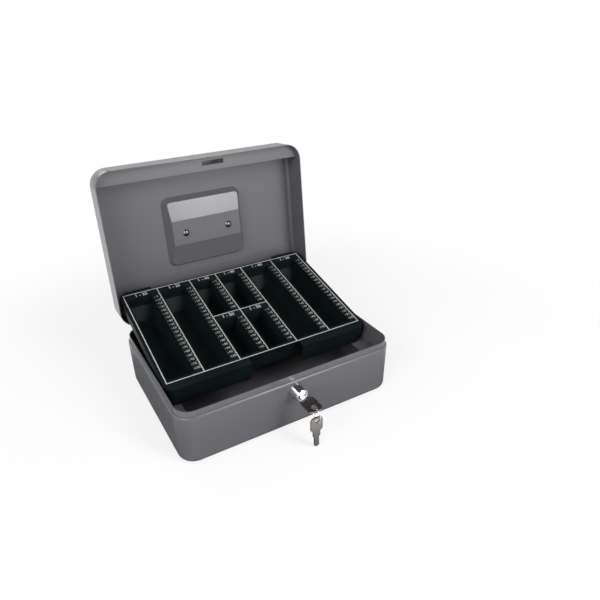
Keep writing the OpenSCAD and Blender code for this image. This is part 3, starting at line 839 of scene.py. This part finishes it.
@dataclass
class CoinTray:
    """Moulded tray with its printed frame, dividing lines, numbers and scales.

    Lengths are millimetres of the level tray, from its middle and its front edge. The lean is
    in degrees.

    Attributes:
        lip: Reach of the moulding ahead of the front edge.
        cross: Place of the wall that halves two of the troughs.
        halved: Those two troughs, counted from the left.
        strip: Width of the flat strip behind a trough that carries its count.
        type_size: Size of the type for digits one millimetre high.
        label_weight: How much the strokes of a count are widened.
        pitch: Length of one step of a scale.
        first_step: Place of the first figure, in steps.
        figure_in: Distance of the figures from the line on their right.
        above_front: Gap between the frame and the first step.
        above_cross: Gap between the cross line and the first step.
    """

    moulding: Ease = Ease(0.5, 3)
    lean: float = 13.0
    lip: float = 5.5
    length: float = 157.0
    height: float = 27.2
    frame_half: float = 116.0
    frame_front: float = 5.0
    frame_rear: float = 151.0
    dividers: tuple[float, ...] = (-76.0, -35.4, -1.5, 33.5, 76.4)
    cross: float = 78.0
    halved: tuple[int, ...] = (2, 3)
    strip: float = 9.0
    line: float = 0.9
    ink_lift: float = 0.03
    type_size: float = 1.4
    digit: float = 2.9
    label: float = 4.5
    label_weight: float = 0.1
    counts: tuple[str, ...] = ("1 - 25", "1 - 25", "1 - 40", "1 - 40", "1 - 40", "1 - 30")
    low_counts: tuple[str, ...] = ("1 - 50", "1 - 50")
    pitch: float = 6.5
    first_step: float = 0.6
    step_value: int = 5
    figure_in: float = 4.3
    ticks: tuple[Tick, ...] = (Tick(8.4, 7.0, 0.25, 0.0), Tick(1.9, 0.5, 0.2, 0.5))
    above_front: float = 4.0
    above_cross: float = 3.0

    def place(self) -> Matrix:
        """Works out where the tray leans from the frame's box of it.

        Returns:
            The matrix from millimetres of the level tray to its place in metres.
        """
        low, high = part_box("coin_tray")
        lean = math.radians(self.lean)
        front_y = low.y + (self.lip * math.cos(lean) + self.height * math.sin(lean)) * MM
        low_z = high.z - (self.length * math.sin(lean) + self.height * math.cos(lean)) * MM
        return (Matrix.Translation((0, front_y, low_z)) @ Matrix.Rotation(lean, 4, "X")
                @ Matrix.Scale(MM, 4))

    def bar(self, mesh: bmesh.types.BMesh, x0: float, y0: float, x1: float, y1: float) -> None:
        """Adds one printed bar.

        Args:
            mesh: Mesh that collects the print.
            x0: Left end.
            y0: Front end.
            x1: Right end.
            y1: Rear end.
        """
        z = self.height + self.ink_lift
        mesh.faces.new([mesh.verts.new((x, y, z))
                        for x, y in ((x0, y0), (x1, y0), (x1, y1), (x0, y1))])

    def word(self, mesh: bmesh.types.BMesh, text: str, x: float, y: float, size: float,
             weight: float = 0.0) -> None:
        """Adds a printed number centred on a point.

        Args:
            mesh: Mesh that collects the print.
            text: The digits.
            x: Middle of the number across the tray.
            y: Middle of the number along the tray.
            size: Height of the digits in millimetres.
            weight: How much each stroke is widened on both sides, in millimetres.
        """
        curve = bpy.data.curves.new("digits", "FONT")
        curve.body = text
        curve.size = size * self.type_size
        curve.align_x = "CENTER"
        curve.align_y = "CENTER"
        curve.resolution_u = 2
        curve.offset = weight
        glyph = bpy.data.objects.new("digits", curve)
        bpy.context.scene.collection.objects.link(glyph)
        bpy.context.view_layer.update()
        flat = evaluated(glyph)
        flat.transform(Matrix.Translation((x, y, self.height + self.ink_lift)))
        mesh.from_mesh(flat)
        bpy.data.objects.remove(glyph)
        bpy.data.meshes.remove(flat)
        bpy.data.curves.remove(curve)

    def print_lines(self, mesh: bmesh.types.BMesh) -> None:
        """Adds the frame and the dividing lines.

        Args:
            mesh: Mesh that collects the print.
        """
        half, w = self.frame_half, self.line / 2
        for y in (self.frame_front, self.frame_rear):
            self.bar(mesh, -half - w, y - w, half + w, y + w)
        for x in (-half, half, *self.dividers):
            self.bar(mesh, x - w, self.frame_front + w, x + w, self.frame_rear - w)
        self.bar(mesh, self.dividers[1] + w, self.cross - w, self.dividers[3] - w,
                 self.cross + w)

    def scale(self, mesh: bmesh.types.BMesh, right: float, y0: float, y1: float) -> None:
        """Adds one column of figures and ticks beside a trough.

        Args:
            mesh: Mesh that collects the print.
            right: The line that closes the column on the right.
            y0: Front end of the column.
            y1: Rear end of the column.
        """
        count = int((y1 - y0) / self.pitch)
        for i in range(count):
            y = y0 + (i + self.first_step) * self.pitch
            self.word(mesh, str(self.step_value * (count - i)), right - self.figure_in, y,
                      self.digit)
            for tick in self.ticks:
                middle = y + tick.shift * self.pitch
                self.bar(mesh, right - tick.start, middle - tick.half, right - tick.end,
                         middle + tick.half)

    def print_scales(self, mesh: bmesh.types.BMesh) -> None:
        """Adds the numbers and scales of all troughs.

        Args:
            mesh: Mesh that collects the print.
        """
        edges = (-self.frame_half, *self.dividers, self.frame_half)
        front = self.frame_front + self.above_front
        rear = self.frame_rear - self.strip
        for i, count in enumerate(self.counts):
            left, right = edges[i:i + 2]
            mid = (left + right) / 2
            self.word(mesh, count, mid, self.frame_rear - self.strip / 2, self.label,
                      self.label_weight)
            if i in self.halved:
                self.scale(mesh, right, self.cross + self.above_cross, rear)
                self.scale(mesh, right, front, self.cross - self.strip)
                self.word(mesh, self.low_counts[self.halved.index(i)], mid,
                          self.cross - self.strip / 2, self.label, self.label_weight)
            else:
                self.scale(mesh, right, front, rear)

    def build(self, palette: Palette) -> None:
        """Builds and dresses the tray and its print.

        Args:
            palette: Finishes of the box.
        """
        dress(eased_copy("coin_tray", self.moulding), palette.plastic, Body.TRAY)
        mesh = bmesh.new()
        self.print_lines(mesh)
        self.print_scales(mesh)
        bmesh.ops.transform(mesh, matrix=self.place(), verts=mesh.verts)
        dress(from_bmesh("tray_print", mesh), palette.ink, Body.TRAY)


# ---------------------------------------------------------------- studio


@dataclass(frozen=True)
class Lamp:
    """A rectangular soft lamp: its place, size and aim in metres, and its power in watts."""

    name: str
    spot: Triple
    size: Pair
    watts: float
    aim: Triple

    def hang(self) -> None:
        """Adds the lamp to the scene."""
        data = bpy.data.lights.new(self.name, "AREA")
        data.shape = "RECTANGLE"
        data.size, data.size_y = self.size
        data.energy = self.watts
        obj = bpy.data.objects.new(self.name, data)
        obj.location = self.spot
        facing = Vector(self.aim) - Vector(self.spot)
        obj.rotation_euler = facing.to_track_quat("-Z", "Y").to_euler()
        bpy.context.scene.collection.objects.link(obj)


@dataclass
class Studio:
    """Floor, lamps, world and camera.

    The camera's place is in millimetres, its angles in degrees, and its focal length and
    middle in pixels of a frame that is frame_px wide.

    Attributes:
        world_level: Strength of the even air.
        wall_top: Height of the sky direction up to which bright walls are mirrored.
        ceiling_from: Height of the sky direction from which the dim ceiling is mirrored.
        ceiling_level: Strength of that ceiling.
        floor_size: Half the width of the floor in metres.
    """

    eye: Triple = (-226.385, -480.686, 394.357)
    yaw: float = 29.73
    pitch: float = 26.91
    roll: float = -1.05
    focal: float = 552.31
    middle: Pair = (291.86, 284.66)
    frame_px: float = 600.0
    near_clip: float = 0.01
    white: Triple = (1.0, 1.0, 1.0)
    world_level: float = 0.31
    wall_top: float = 0.12
    ceiling_from: float = 0.42
    ceiling_level: float = 0.07
    floor_size: float = 60.0
    floor_cells: int = 8
    lamps: tuple[Lamp, ...] = (
        Lamp("side_lamp", (-1.25, -0.75, 0.9), (0.9, 0.9), 17.0, (0, 0, 0.1)),
        Lamp("facet_lamp", (0.44, -1.08, 0.44), (0.36, 0.24), 4.3, (0, 0.128, 0.20)),
        Lamp("edge_lamp", (0.39, -0.80, 0.81), (0.36, 0.85), 7.0, (0, -0.1, 0.06)),
        Lamp("lock_lamp", (-0.91, 0.29, 0.68), (0.30, 0.36), 1.3, (0, -0.12, 0.05)),
        Lamp("rear_lamp", (-0.3, 1.5, 1.0), (0.7, 0.7), 5.0, (0, 0, 0.1)),
    )

    def air(self) -> None:
        """Sets the world: even air, a white backdrop and a dim ceiling for reflections."""
        world = bpy.data.worlds.new("studio_air")
        bpy.context.scene.world = world
        wires = Wiring(world, "ShaderNodeOutputWorld")
        soft = wires.plain("ShaderNodeBackground", self.white, self.world_level)
        backdrop = wires.plain("ShaderNodeBackground", self.white, 1.0)
        split = wires.nodes.new("ShaderNodeSeparateXYZ")
        heading = wires.nodes.new("ShaderNodeTexCoord").outputs["Generated"]
        wires.links.new(heading, split.inputs[0])
        room = wires.nodes.new("ShaderNodeBackground")
        room.inputs[0].default_value = (*self.white, 1)
        level = wires.spread(split.outputs[2], 1.0, self.ceiling_level, self.wall_top,
                             self.ceiling_from, "SMOOTHSTEP")
        wires.links.new(level, room.inputs[1])
        mirrored = wires.either(wires.glossy(), soft, room.outputs[0])
        seen = wires.either(wires.sight(), mirrored, backdrop)
        wires.links.new(seen, wires.output.inputs[0])

    def floor(self) -> None:
        """Lays the pale floor."""
        mesh = bmesh.new()
        bmesh.ops.create_grid(mesh, x_segments=self.floor_cells, y_segments=self.floor_cells,
                              size=self.floor_size)
        floor = from_bmesh("studio_floor", mesh)
        floor.data.materials.append(StudioWhite().make())

    def camera(self) -> None:
        """Places the camera."""
        yaw, pitch, roll = map(math.radians, (self.yaw, self.pitch, self.roll))
        look = Vector((math.sin(yaw) * math.cos(pitch), math.cos(yaw) * math.cos(pitch),
                       -math.sin(pitch)))
        right = Vector((math.cos(yaw), -math.sin(yaw), 0))
        up = right.cross(look)
        side = right * math.cos(roll) + up * math.sin(roll)
        top = up * math.cos(roll) - right * math.sin(roll)
        data = bpy.data.cameras.new("camera")
        data.sensor_width = SENSOR_MM
        data.sensor_fit = "HORIZONTAL"
        data.lens = self.focal / self.frame_px * SENSOR_MM
        data.shift_x = (self.frame_px / 2 - self.middle[0]) / self.frame_px
        data.shift_y = (self.middle[1] - self.frame_px / 2) / self.frame_px
        data.clip_start = self.near_clip
        obj = bpy.data.objects.new("camera", data)
        pose = Matrix((side, top, -look)).transposed().to_4x4()
        pose.translation = Vector(self.eye) * MM
        obj.matrix_world = pose
        bpy.context.scene.collection.objects.link(obj)
        bpy.context.scene.camera = obj

    def build(self) -> None:
        """Sets up the whole studio."""
        bpy.context.scene.view_settings.view_transform = "Standard"
        self.air()
        for lamp in self.lamps:
            lamp.hang()
        self.floor()
        self.camera()


def main() -> None:
    """Builds the box group by group, then the studio."""
    logging.basicConfig(level=logging.INFO, format="%(name)s %(message)s")
    palette = mix_palette()
    for group in (BoxBody(), Lid(), Lock(), Keys(), Handle(), CoinTray()):
        LOG.info("building %s", type(group).__name__)
        group.build(palette)
    Studio().build()


if __name__ == "__main__":
    main()
